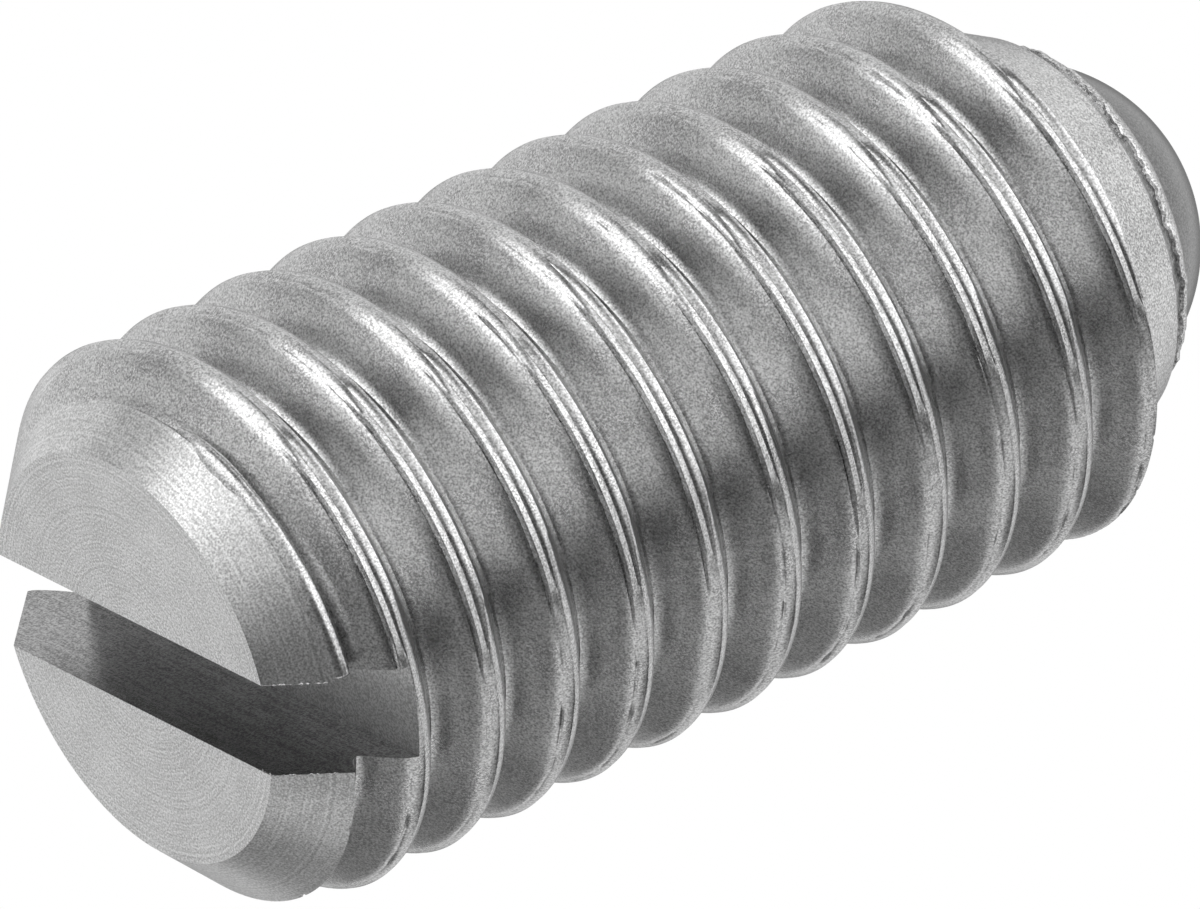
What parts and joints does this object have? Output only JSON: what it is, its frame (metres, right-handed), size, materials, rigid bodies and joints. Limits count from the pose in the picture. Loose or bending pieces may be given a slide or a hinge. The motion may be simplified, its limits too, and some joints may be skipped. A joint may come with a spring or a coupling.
{
  "type": "spring plunger",
  "caption": "Threaded steel sleeve with a screwdriver slot in one end and a sprung ball held in the other end by a rolled lip.",
  "frame": {"origin": "centre of the slotted end face, on the sleeve's axis", "axes": "+Z along the sleeve's axis, from the slotted end to the ball; the screwdriver slot runs along X"},
  "size_m": [0.008, 0.008, 0.0175],
  "materials": {
    "sleeve_steel": "satin rolled and turned stainless steel with fine grain",
    "ball_steel": "smooth matt hardened stainless steel",
    "spring_steel": "drawn stainless spring wire"
  },
  "bodies": {
    "sleeve": {"threaded_sleeve": "sleeve_steel", "compression_spring": "spring_steel"},
    "ball": {"ball": "ball_steel"}
  },
  "joints": [
    {"name": "ball_press", "type": "slide", "parent": "sleeve", "child": "ball", "axis": [0, 0, -1], "range_m": [0, 0.0015], "stiffness_N_per_m": 10000, "springref_m": -0.0015, "deforming": ["compression_spring"]}
  ]
}
